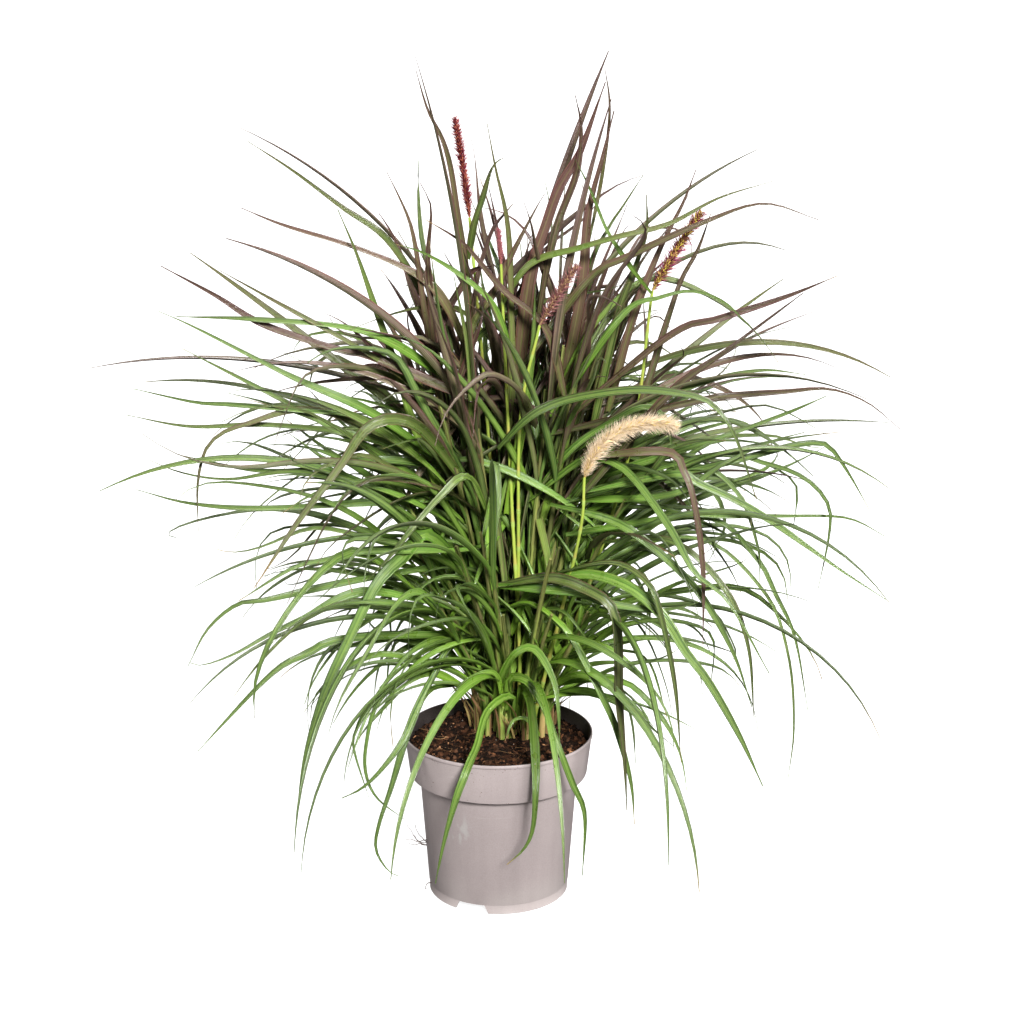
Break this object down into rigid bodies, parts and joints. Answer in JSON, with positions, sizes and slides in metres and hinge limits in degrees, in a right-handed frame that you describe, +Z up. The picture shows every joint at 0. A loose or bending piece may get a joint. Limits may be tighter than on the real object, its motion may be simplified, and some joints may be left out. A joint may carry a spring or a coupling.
{
  "type": "potted fountain grass clump",
  "caption": "Free-standing purple-green fountain grass clump with arching leaf blades and bristly flower spikes, growing in peat soil in a round grey nursery pot.",
  "frame": {"origin": "middle of the pot's foot ring, on the surface that the pot stands on, on the pot's axis", "axes": "+Z up along the pot's axis; -Y towards the viewer of the front, where the low leaf blades hang over the rim; +X to that viewer's right"},
  "size_m": [0.9618, 0.8603, 1.0189],
  "materials": {
    "pot_plastic": "satin",
    "soil": "matte",
    "shoot": "matte",
    "leaf": "satin",
    "culm": "satin",
    "spike_burgundy": "matte",
    "spike_purple": "matte",
    "spike_cream": "matte"
  },
  "bodies": {
    "root": {"pot": "pot_plastic", "soil": "soil", "shoot_01": "shoot", "shoot_02": "shoot", "shoot_03": "shoot", "shoot_04": "shoot", "shoot_05": "shoot", "shoot_06": "shoot", "shoot_07": "shoot", "shoot_08": "shoot", "shoot_09": "shoot", "shoot_10": "shoot", "shoot_11": "shoot", "shoot_12": "shoot", "shoot_13": "shoot", "shoot_14": "shoot", "shoot_15": "shoot", "shoot_16": "shoot", "leaf_01": "leaf", "leaf_02": "leaf", "leaf_03": "leaf", "leaf_04": "leaf", "leaf_05": "leaf", "leaf_06": "leaf", "leaf_07": "leaf", "leaf_08": "leaf", "leaf_09": "leaf", "leaf_10": "leaf", "leaf_11": "leaf", "leaf_12": "leaf", "leaf_13": "leaf", "leaf_14": "leaf", "leaf_15": "leaf", "leaf_16": "leaf", "leaf_17": "leaf", "leaf_18": "leaf", "leaf_19": "leaf", "leaf_20": "leaf", "leaf_21": "leaf", "leaf_22": "leaf", "leaf_23": "leaf", "leaf_24": "leaf", "leaf_25": "leaf", "leaf_26": "leaf", "leaf_27": "leaf", "leaf_28": "leaf", "leaf_29": "leaf", "leaf_30": "leaf", "leaf_31": "leaf", "leaf_32": "leaf", "culm_1": "culm", "culm_2": "culm", "culm_3": "culm", "culm_4": "culm", "culm_5": "culm", "spike_1": "spike_burgundy", "spike_2": "spike_purple", "spike_3": "spike_purple", "spike_4": "spike_cream", "spike_5": "spike_purple"}
  },
  "joints": []
}
